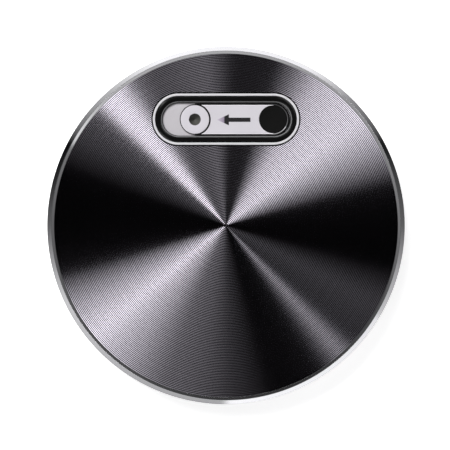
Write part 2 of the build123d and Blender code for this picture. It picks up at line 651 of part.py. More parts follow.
def lid_screws():
    low = LINER_Z[0] + 0.1
    screw = post(1.5, (low, LID_HEAD_Z), LID_SCREW_CIRCLE_R)
    screw += post(0.8, (LID_HEAD_Z, 19.4), LID_SCREW_CIRCLE_R)
    screw -= cross_recess(1.0, 0.18, (low, low + 0.25), LID_SCREW_CIRCLE_R)
    return group(round_the_axis(screw, LID_SCREW_ANGLES))


# ---------------------------------------------------------------- slider and latch
def slider_sole():
    """Black carrier under the bright plate, a little wider than it, with two studs for the latch plate."""
    half = SOLE_H / 2
    sole = block((CAP_X, PAD_X), (WINDOW_Y - half, WINDOW_Y + half), SOLE_Z)
    sole += post(half, SOLE_Z, PAD_X, WINDOW_Y)
    sole += post(SOLE_END_R, SOLE_Z, CAP_X, WINDOW_Y)
    sole -= post(CAP_HOLE_R, (SOLE_Z[1] - 0.25, SOLE_Z[1]), CAP_X, WINDOW_Y)
    for x in STUD_X:
        sole += post(STUD_R, (LATCH_Z[1], SOLE_Z[0]), x, WINDOW_Y)
        sole -= post(STUD_BORE_R, (LATCH_Z[1], SOLE_Z[1]), x, WINDOW_Y)
    return sole


def slider_plate():
    """Bright plate on the sole, cut round for the cap and the pad."""
    left, right = CAP_X - CAP_R, PAD_X + SLIDER_H / 2
    plate = pill(right - left, SLIDER_H, SLIDER_Z, (left + right) / 2)
    plate = chamfer(plate.faces().sort_by(Axis.Z)[-1].edges(), 0.3)
    plate -= post(CAP_R + CAP_GAP, SLIDER_Z, CAP_X, WINDOW_Y)
    plate -= post(PAD_R + 0.05, SLIDER_Z, PAD_X, WINDOW_Y)
    plate -= block((left, CAP_X + 2), (WINDOW_Y - SLIDER_H, WINDOW_Y + SLIDER_H), SLIDER_Z)
    return plate - arrow_outline(ARROW_DEPTH)


def arrow_outline(thickness):
    corners = [(ARROW_TIP_X, 0), (ARROW_NECK_X, ARROW_HEAD), (ARROW_NECK_X, ARROW_SHAFT),
               (ARROW_TAIL_X, ARROW_SHAFT), (ARROW_TAIL_X, -ARROW_SHAFT), (ARROW_NECK_X, -ARROW_SHAFT),
               (ARROW_NECK_X, -ARROW_HEAD)]
    outline = make_face(Polyline(*corners, close=True))
    return Pos(0, ARROW_Y, SLIDER_Z[1] - ARROW_DEPTH) * extrude(outline, thickness)


def slider_arrow():
    return arrow_outline(ARROW_DEPTH + 0.02)


def slider_cap():
    cap = post(CAP_R, (SOLE_Z[1], CAP_TOP), CAP_X, WINDOW_Y)
    cap = chamfer(cap.edges().filter_by(GeomType.CIRCLE).sort_by(Axis.Z)[-1], 0.15)
    return cap - post(CAP_HOLE_R, (SOLE_Z[1], CAP_TOP), CAP_X, WINDOW_Y)


def thumb_pad():
    """Dished black pad for the thumb."""
    pad = post(PAD_R, (SOLE_Z[1], SLIDER_Z[1] - 0.05), PAD_X, WINDOW_Y)
    return pad - Pos(PAD_X, WINDOW_Y, SOLE_Z[1] + 0.2 + PAD_DISH_R) * Sphere(PAD_DISH_R)


def latch_plate():
    """Steel plate under the slider, with a tongue to the rim and two bent hooks."""
    plate = block((-9, 13.5), (36.2, 44.6), LATCH_Z)
    tongue_x = (HOOK_X[1] - 1.1, HOOK_X[0] + 1.1)
    plate += block(tongue_x, (44.6, HOOK_Y[1]), LATCH_Z)
    for x in HOOK_X:
        plate += block((x - 1.1, x + 1.1), HOOK_Y, (HOOK_FOOT_Z[0], LATCH_Z[0]))
        plate += block((x + 1.1, x + 3.1), HOOK_Y, HOOK_FOOT_Z)
    for x in STUD_X:
        plate -= post(STUD_BORE_R + 0.05, LATCH_Z, x, WINDOW_Y)
        plate -= post(1.35, (LATCH_Z[0], STUD_HEAD_Z), x, WINDOW_Y)
    # tab that the return spring pushes on
    tab_y = (SPRING_Y - 1.1, SPRING_Y + 1.1)
    plate += block((SPRING_X[1], SPRING_X[1] + 0.8), tab_y, (LATCH_Z[0], 20.1))
    plate += block((SPRING_X[1], tongue_x[0]), tab_y, LATCH_Z)
    return plate


def slider_screws():
    head_z, thread_z = (LATCH_Z[0] + 0.02, STUD_HEAD_Z), (STUD_HEAD_Z, SOLE_Z[1] - 0.05)
    return group([post(1.3, head_z, x, WINDOW_Y) + post(STUD_BORE_R, thread_z, x, WINDOW_Y) for x in STUD_X])


def slider_spring():
    """Compression spring that pushes the latch back to rest."""
    wire, coil_r, turns = 0.15, 0.75, 12
    length = SPRING_X[1] - SPRING_X[0] - 2 * wire - 0.1
    coil = Rot(0, 90, 0) * Helix(length / turns, length, coil_r)
    coil = Pos(SPRING_X[0] + wire + 0.05, SPRING_Y, SPRING_Z) * coil
    return sweep(Plane(origin=coil @ 0, z_dir=coil % 0) * Circle(wire), path=coil)


# ---------------------------------------------------------------- write every node
MAKERS = (
    base_shell, side_band, upper_deck, rubber_feet, base_screws, latch_catches, rim_bumpers,
    hinge_pin, hinge_spring, battery_cells, battery_contacts, battery_door,
    main_board, board_screws, board_parts, headphone_jack, dc_jack, hold_switch, hold_knob,
    button_board, button_switches, drive_chassis, chassis_dampers, guide_rods,
    spindle_motor, spindle_shaft, turntable, disc_pad, chuck_balls,
    sled_motor, motor_pinion, drive_gear, gear_axle, pickup_rack, pickup_sled, pickup_board,
    lens_holder, objective_lens, rim_ring, lid_plate, window_bezel, switch_well, track_floor,
    lid_frame, lid_liner, lid_screws, slider_sole, slider_plate, slider_arrow, slider_cap,
    thumb_pad, latch_plate, slider_screws, slider_spring,
)

os.makedirs("parts", exist_ok=True)
for make in MAKERS:
    export_step(make(), f"parts/{make.__name__}.step")
for name, angle in BUTTON_ANGLES.items():
    export_step(belt_button(angle), f"parts/{name}.step")
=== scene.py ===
"""Portable CD player: looks, lights and camera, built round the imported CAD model.

Lengths are in metres, in the CAD model's own frame: +Z up, the lid's free edge and its catch at +Y.
"""
import json
from math import cos, pi, radians, sin, tan

import bmesh
import bpy
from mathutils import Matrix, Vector


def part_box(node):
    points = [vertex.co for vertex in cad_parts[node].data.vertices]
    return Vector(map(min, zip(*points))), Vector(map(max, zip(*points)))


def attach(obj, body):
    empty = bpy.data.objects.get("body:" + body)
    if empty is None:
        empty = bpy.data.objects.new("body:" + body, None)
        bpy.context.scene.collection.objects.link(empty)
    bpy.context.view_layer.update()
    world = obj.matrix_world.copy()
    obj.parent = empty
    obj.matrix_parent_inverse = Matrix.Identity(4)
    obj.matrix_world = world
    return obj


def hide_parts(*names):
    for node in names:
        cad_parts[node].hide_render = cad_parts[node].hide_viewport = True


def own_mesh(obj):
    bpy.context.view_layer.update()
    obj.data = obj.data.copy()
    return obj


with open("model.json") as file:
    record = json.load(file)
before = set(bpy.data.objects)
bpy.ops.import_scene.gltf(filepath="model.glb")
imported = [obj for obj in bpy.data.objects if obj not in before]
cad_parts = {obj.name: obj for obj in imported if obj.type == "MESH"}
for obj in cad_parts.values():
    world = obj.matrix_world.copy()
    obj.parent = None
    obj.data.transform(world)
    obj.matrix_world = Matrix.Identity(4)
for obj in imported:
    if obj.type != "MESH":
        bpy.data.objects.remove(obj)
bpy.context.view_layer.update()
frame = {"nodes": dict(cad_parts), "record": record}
MM = 0.001


# ---------------------------------------------------------------- sizes read from the frame
def centre_of(node):
    low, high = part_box(node)
    return [(a + b) / 2 for a, b in zip(low, high)]


PLATE_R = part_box("lid_plate")[1][0]
PLATE_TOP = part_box("lid_plate")[1][2]
PLATE_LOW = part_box("lid_plate")[0][2]
WINDOW_X, WINDOW_Y, _ = centre_of("window_bezel")
BEZEL_SIZE = [b - a for a, b in zip(*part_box("window_bezel"))]
RIM_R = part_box("rim_ring")[1][0]
OBJECT_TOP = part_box("rim_ring")[1][2]
CAP_X, _, _ = centre_of("slider_cap")
PAD_X, _, _ = centre_of("thumb_pad")
BAR_Y = WINDOW_Y - 0.09 * MM          # the bar and cap lie a little below the window's middle
CAP_HOLE_R, CAP_GAP = 2.25, 0.6       # mm, the cap's hole and the gap round the cap
CUP_LOOK_DEPTH = 3.4 * MM


# ---------------------------------------------------------------- node helpers
class Nodes:
    """Short way to write a shader: new nodes by type, and links by socket."""

    def __init__(self, tree):
        self.tree = tree
        tree.nodes.clear()

    def add(self, kind, inputs=None, **settings):
        node = self.tree.nodes.new(kind)
        for name, value in settings.items():
            setattr(node, name, value)
        for name, value in (inputs or {}).items():
            self.put(node.inputs[name], value)
        return node

    def put(self, socket, value):
        if isinstance(value, bpy.types.NodeSocket):
            self.tree.links.new(value, socket)
        elif isinstance(value, bpy.types.Node):
            self.tree.links.new(value.outputs[0], socket)
        else:
            socket.default_value = value

    def math(self, operation, *values):
        node = self.add("ShaderNodeMath", operation=operation)
        for slot, value in enumerate(values):
            self.put(node.inputs[slot], value)
        return node.outputs[0]

    def ramp(self, fac, stops):
        """Colour ramp from (position, colour) stops; a colour may be one grey value."""
        node = self.add("ShaderNodeValToRGB", {"Fac": fac})
        elements = node.color_ramp.elements
        for position, colour in stops[len(elements):]:
            elements.new(position)
        for element, (position, colour) in zip(elements, stops):
            element.position = position
            element.color = rgb(colour)
        return node.outputs["Color"]

    def mix(self, fac, a, b):
        node = self.add("ShaderNodeMix", data_type="RGBA")
        self.put(node.inputs["Factor"], fac)
        colours = [socket for socket in node.inputs if socket.type == "RGBA"]
        self.put(colours[0], a)
        self.put(colours[1], b)
        return next(socket for socket in node.outputs if socket.type == "RGBA")

    def noise(self, scale, detail, roughness, vector):
        inputs = {"Scale": scale, "Detail": detail, "Roughness": roughness, "Vector": vector}
        return self.add("ShaderNodeTexNoise", inputs).outputs["Fac"]

    def bump(self, height, strength, distance):
        inputs = {"Height": height, "Strength": strength, "Distance": distance}
        return self.add("ShaderNodeBump", inputs).outputs[0]

    def flat_length(self, x, y):
        """Distance from the Z axis."""
        return self.math("SQRT", self.math("ADD", self.math("POWER", x, 2.0), self.math("POWER", y, 2.0)))


def rgb(value):
    """Colour with alpha from a grey value or three numbers."""
    return (value, value, value, 1) if isinstance(value, float) else (*value, 1)


def new_material(name):
    material = bpy.data.materials.new(name)
    material.use_nodes = True
    nodes = Nodes(material.node_tree)
    out = nodes.add("ShaderNodeOutputMaterial")
    shader = nodes.add("ShaderNodeBsdfPrincipled")
    nodes.put(out.inputs["Surface"], shader.outputs[0])
    where = nodes.add("ShaderNodeTexCoord").outputs["Object"]
    return material, nodes, shader, where


def varied(nodes, where, colour, amount, scale):
    """Colour with slow, faint changes over the surface."""
    patches = nodes.noise(scale, 4.0, 0.6, where)
    darker = rgb([c * (1 - amount) for c in colour])
    lighter = rgb([min(1.0, c * (1 + amount)) for c in colour])
    return nodes.mix(patches, darker, lighter)


def plastic(name, colour, roughness=0.4, grain=0.02, grain_scale=2500.0, coat=0.0, specular=0.5):
    """Moulded plastic with a fine sparked grain and slight unevenness of gloss."""
    material, nodes, shader, where = new_material(name)
    nodes.put(shader.inputs["Base Color"], varied(nodes, where, colour, 0.08, 90.0))
    fine = nodes.noise(grain_scale, 2.0, 0.6, where)
    wear = nodes.noise(140.0, 5.0, 0.6, where)
    rough = nodes.math("MULTIPLY_ADD", wear, 0.16, roughness - 0.08)
    nodes.put(shader.inputs["Roughness"], rough)
    nodes.put(shader.inputs["Normal"], nodes.bump(fine, 0.35, grain * MM))
    shader.inputs["Coat Weight"].default_value = coat
    shader.inputs["Coat Roughness"].default_value = 0.06
    shader.inputs["Specular IOR Level"].default_value = specular
    return material


def metal(name, colour, roughness=0.25, scratch=0.01, stretch=(1.0, 1.0, 12.0)):
    """Metal with faint scratches along the short axis of the stretch and small changes of tone."""
    material, nodes, shader, where = new_material(name)
    nodes.put(shader.inputs["Base Color"], varied(nodes, where, colour, 0.07, 120.0))
    shader.inputs["Metallic"].default_value = 1.0
    scaled = nodes.add("ShaderNodeMapping", {"Vector": where, "Scale": stretch}).outputs[0]
    lines = nodes.noise(900.0, 4.0, 0.65, scaled)
    nodes.put(shader.inputs["Roughness"], nodes.math("MULTIPLY_ADD", lines, 0.14, roughness - 0.07))
    nodes.put(shader.inputs["Normal"], nodes.bump(lines, 0.25, scratch * MM))
    return material


def rubber(name, colour=(0.028, 0.028, 0.03)):
    """Dull black rubber with a fine grain."""
    material, nodes, shader, where = new_material(name)
    nodes.put(shader.inputs["Base Color"], varied(nodes, where, colour, 0.2, 260.0))
    wear = nodes.noise(500.0, 4.0, 0.6, where)
    nodes.put(shader.inputs["Roughness"], nodes.math("MULTIPLY_ADD", wear, 0.2, 0.6))
    fine = nodes.noise(3000.0, 2.0, 0.6, where)
    nodes.put(shader.inputs["Normal"], nodes.bump(fine, 0.5, 0.03 * MM))
    return material


def polished(name, colour, roughness=0.06):
    """Polished plating: nearly a mirror, with a little haze and fine wiping marks."""
    material, nodes, shader, where = new_material(name)
    nodes.put(shader.inputs["Base Color"], varied(nodes, where, colour, 0.03, 60.0))
    shader.inputs["Metallic"].default_value = 1.0
    haze = nodes.noise(220.0, 6.0, 0.7, where)
    nodes.put(shader.inputs["Roughness"], nodes.math("MULTIPLY_ADD", haze, 0.05, roughness))
    return material


# ---------------------------------------------------------------- materials
SPUN_DARK, SPUN_LIGHT = (0.44, 0.418, 0.468), (0.56, 0.532, 0.594)
# colour of the painted shade in each groove
GROOVE_SHADE = (0.10, 0.088, 0.115)
SPUN_ROUGHNESS, SPUN_ANISOTROPY = 0.12, 0.97
GROOVE_PITCH = 0.61 * MM
# where in each pitch the painted groove shade lies: it comes in, is full, and goes out
GROOVE_SHADE_STOPS = [(0.0, 0.0), (0.42, 0.0), (0.52, 1.0), (0.92, 1.0), (1.0, 0.0)]


def spun_metal():
    """Metal turned on a lathe, with painted shade darkening a band in each groove: it smears light across its
    concentric rings.
    """
    material, nodes, shader, where = new_material("spun_metal")
    x, y, _ = nodes.add("ShaderNodeSeparateXYZ", {"Vector": where}).outputs
    radius = nodes.flat_length(x, y)
    rings = {"W": nodes.math("MULTIPLY", radius, 900.0), "Scale": 1.0, "Detail": 3.0}
    tone = nodes.add("ShaderNodeTexNoise", rings, noise_dimensions="1D").outputs["Fac"]
    land = nodes.mix(tone, rgb(SPUN_DARK), rgb(SPUN_LIGHT))
    inward = nodes.math("DIVIDE", nodes.math("SUBTRACT", PLATE_R, radius), GROOVE_PITCH)
    # painted shade: a dark band in each groove's pitch, laid over the metal's tone
    groove_shade_mask = nodes.ramp(nodes.math("FRACT", inward), GROOVE_SHADE_STOPS)
    nodes.put(shader.inputs["Base Color"], nodes.mix(groove_shade_mask, land, rgb(GROOVE_SHADE)))
    shader.inputs["Metallic"].default_value = 1.0
    nodes.put(shader.inputs["Roughness"], nodes.math("MULTIPLY_ADD", tone, 0.02, SPUN_ROUGHNESS))
    shader.inputs["Anisotropic"].default_value = SPUN_ANISOTROPY
    shader.inputs["Anisotropic Rotation"].default_value = 0.25
    around = nodes.add("ShaderNodeTangent", direction_type="RADIAL", axis="Z")
    nodes.put(shader.inputs["Tangent"], around)
    return material


def arrow_ink():
    """Printed ink, dark along the shaft and worn to a pale violet grey at the tip."""
    material, nodes, shader, where = new_material("arrow_ink")
    low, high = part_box("slider_arrow")
    length = high[0] - low[0]
    x = nodes.add("ShaderNodeSeparateXYZ", {"Vector": where}).outputs[0]
    along = nodes.math("DIVIDE", nodes.math("SUBTRACT", x, low[0]), length)
    worn, fading, dark = (0.50, 0.44, 0.54), (0.26, 0.22, 0.29), (0.01, 0.009, 0.011)
    ink = nodes.ramp(along, [(0.0, worn), (0.2, fading), (0.225, dark)])
    nodes.put(shader.inputs["Base Color"], ink)
    shader.inputs["Roughness"].default_value = 0.45
    return material


def cup_grey():
    """Dark satin cup; its shading is that of a bowl deeper than the thin slider could hold."""
    material, nodes, shader, where = new_material("cup_grey")
    centre = (CAP_X, BAR_Y, 0.0)
    flat = nodes.add("ShaderNodeVectorMath", {0: where, 1: (1.0, 1.0, 0.0)}, operation="MULTIPLY").outputs[0]
    away = nodes.add("ShaderNodeVectorMath", {0: flat, 1: centre}, operation="DISTANCE").outputs["Value"]
    height = nodes.math("POWER", nodes.math("DIVIDE", away, CAP_HOLE_R * MM), 1.2)
    shader.inputs["Base Color"].default_value = (0.13, 0.13, 0.117, 1)
    shader.inputs["Roughness"].default_value = 0.5
    shader.inputs["Specular IOR Level"].default_value = 0.2
    nodes.put(shader.inputs["Normal"], nodes.bump(height, 1.0, CUP_LOOK_DEPTH))
    return material


# record slot -> material; plain CAD nodes keep their shape and take these
MATERIALS = {
    "black_plastic": plastic("black_plastic", (0.018, 0.018, 0.02), roughness=0.42, grain=0.03),
    "silver_shell": plastic("silver_shell", (0.42, 0.41, 0.44), roughness=0.3, grain=0.008, coat=0.5),
    "spun_metal": spun_metal(),
    "polished_rim": polished("polished_rim", (0.88, 0.875, 0.905)),
    "frame_silver": plastic("frame_silver", (0.62, 0.61, 0.635), roughness=0.3, grain=0.003, coat=0.3),
    "lip_grey": plastic("lip_grey", (0.20, 0.20, 0.205), roughness=0.45, grain=0.003, specular=0.1),
    # the pad's own dull black, used too on the carrier, the carrier's end and the ring inside the track's lip
    # as painted shade
    "pad_black": plastic("pad_black", (0.003, 0.003, 0.003), roughness=0.5, grain=0.004, specular=0.2),
    "cup_grey": cup_grey(),
    "gloss_black": plastic("gloss_black", (0.004, 0.004, 0.004), roughness=0.12, grain=0.0, coat=0.6),
    "track_grey": plastic("track_grey", (0.50, 0.48, 0.505), roughness=0.5, grain=0.01),
    "slider_silver": plastic("slider_silver", (0.58, 0.56, 0.60), roughness=0.35, grain=0.004, coat=0.3),
    # a lighter copy of the slider's silver for its bevels: a painted highlight
    "bevel_highlight_silver": plastic("bevel_highlight_silver", (0.69, 0.67, 0.71), roughness=0.3, grain=0.002, coat=0.3),
    "arrow_ink": arrow_ink(),
    "rubber": rubber("rubber"),
    "steel": metal("steel", (0.56, 0.56, 0.57), roughness=0.32),
    "screw_steel": metal("screw_steel", (0.45, 0.45, 0.46), roughness=0.28),
    "spring_steel": metal("spring_steel", (0.62, 0.61, 0.6), roughness=0.2),
    "motor_can": metal("motor_can", (0.6, 0.6, 0.62), roughness=0.3),
    "board_green": plastic("board_green", (0.02, 0.12, 0.05), roughness=0.3, coat=0.4),
    "chip_black": plastic("chip_black", (0.015, 0.015, 0.016), roughness=0.6, grain=0.02),
    "gear_white": plastic("gear_white", (0.72, 0.71, 0.66), roughness=0.45),
    "brass": metal("brass", (0.78, 0.58, 0.26), roughness=0.22),
    "die_cast": metal("die_cast", (0.5, 0.5, 0.51), roughness=0.42, scratch=0.03, stretch=(1.0, 1.0, 1.0)),
    "cell_wrap": plastic("cell_wrap", (0.05, 0.16, 0.36), roughness=0.25, coat=0.5),
    "contact_plate": metal("contact_plate", (0.72, 0.69, 0.6), roughness=0.2),
    "ball_steel": polished("ball_steel", (0.8, 0.8, 0.8), roughness=0.04),
    "lens": polished("lens", (0.3, 0.35, 0.6), roughness=0.02),
}

for part in frame["record"]["subparts"]:
    for slot in frame["nodes"][part["node"]].material_slots:
        slot.material = MATERIALS[part["material_slot"]]
# the carrier shows only as the black line round the slider: its dull black, like the pad's, is painted shade
# of the gap round the slider and its cap
frame["nodes"]["slider_sole"].material_slots[0].material = MATERIALS["pad_black"]


# ---------------------------------------------------------------- mesh helpers
SEGMENTS = 256
PILL_STEPS = 48
SHARP = radians(20)
SLOPING = (0.2, 0.999)      # upward share of the normal of a face that counts as a bevel


def finish_mesh(mesh, sharp):
    """Outward normals, and smooth shading but for the edges over an angle."""
    bm = bmesh.new()
    bm.from_mesh(mesh)
    bmesh.ops.recalc_face_normals(bm, faces=bm.faces)
    for face in bm.faces:
        face.smooth = True
    for edge in bm.edges:
        edge.smooth = edge.is_manifold and edge.calc_face_angle(0.0) < sharp
    bm.to_mesh(mesh)
    bm.free()


def solid_mesh(name, build):
    """Mesh made by a function that fills a bmesh."""
    bm = bmesh.new()
    build(bm)
    mesh = bpy.data.meshes.new(name)
    bm.to_mesh(mesh)
    bm.free()
    return mesh


def cut_away(mesh, builds):
    """The mesh with other solids cut out of it."""
    target = bpy.data.objects.new("cut_target", mesh)
    bpy.context.scene.collection.objects.link(target)
    cutters = []
    for build in builds:
        cutter_mesh = solid_mesh("cutter", build)
        finish_mesh(cutter_mesh, SHARP)
        cutter = bpy.data.objects.new("cutter", cutter_mesh)
        bpy.context.scene.collection.objects.link(cutter)
        cutters.append(cutter)
        modifier = target.modifiers.new("cut", "BOOLEAN")
        modifier.object, modifier.operation, modifier.solver = cutter, "DIFFERENCE", "EXACT"
    depsgraph = bpy.context.evaluated_depsgraph_get()
    result = bpy.data.meshes.new_from_object(target.evaluated_get(depsgraph))
    for thing in (target, *cutters):
        bpy.data.objects.remove(thing)
    return result


def piece(name, build, material, body, replaced=(), cuts=(), sharp=SHARP, bevel_highlight=None):
    """Makes one piece from a builder, rides it on a body and gives it a record slot.

    A second material, if given, goes on the faces that slope upward: a lighter copy of the first, as a
    painted highlight on the bevels.
    """
    mesh = solid_mesh(name, build)
    finish_mesh(mesh, sharp)
    if cuts:
        mesh = cut_away(mesh, cuts)
        finish_mesh(mesh, sharp)
    mesh.name = name
    made = bpy.data.objects.new(name, mesh)
    bpy.context.scene.collection.objects.link(made)
    mesh.materials.clear()
    mesh.materials.append(MATERIALS[material])
    # the upward-sloping faces take the second material, a painted highlight on the bevels
    if bevel_highlight:
        mesh.materials.append(MATERIALS[bevel_highlight])
        for face in mesh.polygons:
            face.material_index = int(SLOPING[0] < face.normal.z < SLOPING[1])
    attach(made, body)
    if replaced:
        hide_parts(*replaced)
    return made


def join_loops(bm, loops, closed=True):
    """Quads between neighbouring rings of vertices, and round from the last to the first if closed."""
    pairs = list(zip(loops, loops[1:]))
    if closed:
        pairs.append((loops[-1], loops[0]))
    for a, b in pairs:
        count = len(a)
        for i in range(count):
            j = (i + 1) % count
            bm.faces.new((a[i], a[j], b[j], b[i]))


def ring(bm, r, z, x=0.0, y=0.0, segments=SEGMENTS):
    turn = [2 * pi * i / segments for i in range(segments)]
    return [bm.verts.new((x + r * cos(a), y + r * sin(a), z)) for a in turn]


def pill_ring(bm, r, z, x, y, straight):
    """Ring of vertices round a stadium of end radius r whose end centres are 2 x straight apart."""
    spots = []
    for side, start in ((1, -pi / 2), (-1, pi / 2)):
        for i in range(PILL_STEPS + 1):
            a = start + pi * i / PILL_STEPS
            spots.append((x + side * straight + r * cos(a), y + r * sin(a), z))
    return [bm.verts.new(spot) for spot in spots]


def lathe(profile, x=0.0, y=0.0, segments=SEGMENTS):
    """Builder of a hoop: a closed (radius, height) profile turned about an upright axis."""
    def build(bm):
        join_loops(bm, [ring(bm, r, z, x, y, segments) for r, z in profile])
    return build


def turned(profile, x=0.0, y=0.0, segments=SEGMENTS):
    """Builder of a solid: an open profile from the lower face's edge to the top face's, both capped."""
    def build(bm):
        loops = [ring(bm, r, z, x, y, segments) for r, z in profile]
        join_loops(bm, loops, closed=False)
        bm.faces.new(loops[0])
        bm.faces.new(loops[-1])
    return build


def pill_hoop(profile, x, y, straight):
    """Builder of a closed (end radius, height) profile swept round a stadium."""
    def build(bm):
        join_loops(bm, [pill_ring(bm, r, z, x, y, straight) for r, z in profile])
    return build


def pill_solid(profile, x, y, straight):
    """Builder of a stadium-shaped solid whose sides follow an open (end radius, height) profile."""
    def build(bm):
        loops = [pill_ring(bm, r, z, x, y, straight) for r, z in profile]
        join_loops(bm, loops, closed=False)
        bm.faces.new(loops[0])
        bm.faces.new(loops[-1])
    return build


def rounded(profile, corners):
    """The profile with arcs in place of corners, given as {index: radius}."""
    out = []
    count = len(profile)
    for i, (x, y) in enumerate(profile):
        if i not in corners:
            out.append((x, y))
            continue
        here = Vector((x, y))
        to_last = (Vector(profile[i - 1]) - here).normalized()
        to_next = (Vector(profile[(i + 1) % count]) - here).normalized()
        half = to_last.angle(to_next) / 2
        reach = corners[i] / tan(half)
        middle = here + (to_last + to_next).normalized() * corners[i] / sin(half)
        start, end = here + to_last * reach - middle, here + to_next * reach - middle
        turn = start.angle_signed(end)
        for step in range(5):
            a = -turn * step / 4
            spot = middle + Vector((start.x * cos(a) - start.y * sin(a), start.x * sin(a) + start.y * cos(a)))
            out.append((spot.x, spot.y))
    return out


def in_mm(profile):
    return [(r * MM, z * MM) for r, z in profile]


# ---------------------------------------------------------------- spun lid plate
# share of the pitch and outward slope in degrees; the rest of the pitch returns to the groove's bottom
GROOVE_SLOPES = ((0.40, 10.0), (0.38, 4.0))
PLATE_SHARP = radians(2.5)


def grooved_profile(outer):
    """Top of the plate from its rim to its centre, a saw-tooth of concentric grooves."""
    points = []
    depth = sum(share * GROOVE_PITCH * tan(radians(slope)) for share, slope in GROOVE_SLOPES)
    for k in range(int(outer / GROOVE_PITCH)):
        r, z = outer - k * GROOVE_PITCH, PLATE_TOP - depth
        points.append((r, z))
        for share, slope in GROOVE_SLOPES:
            r -= share * GROOVE_PITCH
            z += share * GROOVE_PITCH * tan(radians(slope))
            points.append((r, z))
    return points


def spun_plate():
    def build(bm):
        loops = [ring(bm, r, z) for r, z in grooved_profile(PLATE_R)]
        low = ring(bm, PLATE_R, PLATE_LOW)
        join_loops(bm, [low] + loops, closed=False)
        tip = bm.verts.new((0, 0, PLATE_TOP))
        for i in range(SEGMENTS):
            bm.faces.new((loops[-1][i], loops[-1][(i + 1) % SEGMENTS], tip))
        bm.faces.new(low)
    gap = WINDOW_END_R + WINDOW_GAP
    window = pill_solid([(gap, PLATE_LOW - MM), (gap, PLATE_TOP + MM)], WINDOW_X, WINDOW_Y, WINDOW_STRAIGHT)
    piece("spun_plate", build, "spun_metal", "lid", ["lid_plate"], [window], PLATE_SHARP)


# ---------------------------------------------------------------- rim
SKIRT_W, OUTER_BEVEL, INNER_BEVEL = 1.8, (1.65, 1.36), (1.0, 0.65)      # mm; a bevel's width and drop
RIM_LEDGE = 1.6


def rim_ring():
    """Polished band with a wide outer bevel and a narrow inner one, every edge just broken."""
    low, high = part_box("rim_ring")[0][2] / MM, OBJECT_TOP / MM
    outer = RIM_R / MM
    crest = outer - OUTER_BEVEL[0]
    inner = crest - INNER_BEVEL[0]
    profile = [(outer - SKIRT_W, low), (outer, low), (outer, high - OUTER_BEVEL[1]), (crest, high),
               (inner, high - INNER_BEVEL[1]), (inner, high - RIM_LEDGE), (outer - SKIRT_W, high - RIM_LEDGE)]
    broken = {1: 0.25, 2: 0.7, 3: 0.06, 4: 0.06}
    piece("rim_band", lathe(in_mm(rounded(profile, broken))), "polished_rim", "lid", ["rim_ring"])


# ---------------------------------------------------------------- window
WINDOW_END_R = BEZEL_SIZE[1] / 2
WINDOW_STRAIGHT = BEZEL_SIZE[0] / 2 - WINDOW_END_R
WINDOW_GAP = 0.5 * MM
BEZEL_W = 0.9
BEZEL_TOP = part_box("window_bezel")[1][2] / MM
WELL_END_R = (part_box("switch_well")[1][1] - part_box("switch_well")[0][1]) / 2
WELL_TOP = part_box("switch_well")[1][2] / MM
WELL_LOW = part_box("switch_well")[0][2] / MM
WELL_JOIN = 0.02              # mm, how far the well stays clear of its neighbours
FLANGE_CLEAR, FLANGE_DROP = 0.3, 0.06
TRACK_R, LIP_W = 6.2, 0.6     # mm; the lip rings the track
LIP_RIDGE, LIP_DROP, SHADE_RING_DROP = 0.4, 0.6, 0.65
TRACK_X = WINDOW_X + 0.2 * MM


def window_frame():
    end = WINDOW_END_R / MM
    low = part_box("window_bezel")[0][2] / MM
    profile = [(end, low), (end, BEZEL_TOP), (end - BEZEL_W, BEZEL_TOP), (end - BEZEL_W, low)]
    shape = in_mm(rounded(profile, {1: 0.2, 2: 0.3}))
    piece("window_frame", pill_hoop(shape, WINDOW_X, WINDOW_Y, WINDOW_STRAIGHT), "frame_silver", "lid",
          ["window_bezel"])


def well_tray():
    """Glossy black band between the frame and the track, a thin grey lip round the track, and inside the lip
    a dull black ring that is painted shade of the drop to the track's floor.
    """
    outer, inner = WINDOW_END_R / MM - BEZEL_W - WELL_JOIN, TRACK_R + LIP_W
    flange = WELL_END_R / MM - FLANGE_CLEAR
    step = PLATE_LOW / MM - FLANGE_DROP
    band = [(flange, WELL_LOW), (flange, step), (outer, step), (outer, WELL_TOP), (inner, WELL_TOP),
            (inner, WELL_LOW)]
    low = WELL_LOW + WELL_JOIN
    ridge, crest = inner - LIP_RIDGE, WELL_TOP - 0.03
    lip = [(inner - 0.01, low), (inner - 0.01, crest), (inner - 0.05, crest), (ridge, WELL_TOP - LIP_DROP),
           (ridge, low)]
    top = WELL_TOP - SHADE_RING_DROP
    shade_ring = [(ridge, low), (ridge, top), (TRACK_R, top), (TRACK_R, low)]
    # the dull black ring inside the lip is painted shade of the drop to the track's floor
    for name, shape, material, replaced in (
            ("well_band", rounded(band, {3: 0.1, 4: 0.08}), "gloss_black", ["switch_well"]),
            ("track_lip", lip, "lip_grey", []), ("track_shade_ring", shade_ring, "pad_black", [])):
        hoop = pill_hoop(in_mm(shape), TRACK_X, WINDOW_Y, WINDOW_STRAIGHT)
        piece(name, hoop, material, "lid", replaced)


# ---------------------------------------------------------------- slider
SLIDER_STEP, SLIDER_HIGH = (level[2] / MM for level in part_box("slider_plate"))
BAR_INSET = 0.2               # mm, how much narrower the bar is on each side than its carrier
BAR_R = (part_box("slider_plate")[1][1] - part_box("slider_plate")[0][1]) / 2 / MM - BAR_INSET
CAP_R = (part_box("slider_cap")[1][1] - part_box("slider_cap")[0][1]) / 2 / MM
BAR_STRAIGHT = (PAD_X - CAP_X) / 2
BAR_X = (PAD_X + CAP_X) / 2
BAR_BEVEL = (0.33, 0.04)      # mm, width and drop
PAD_SEAT_R = 5.32
PAD_RIM_OUT, PAD_RIM_IN, PAD_RIM_DROP = 5.75, 5.45, 0.19
DISH_DEPTH, DISH_STEPS = 0.32, 24
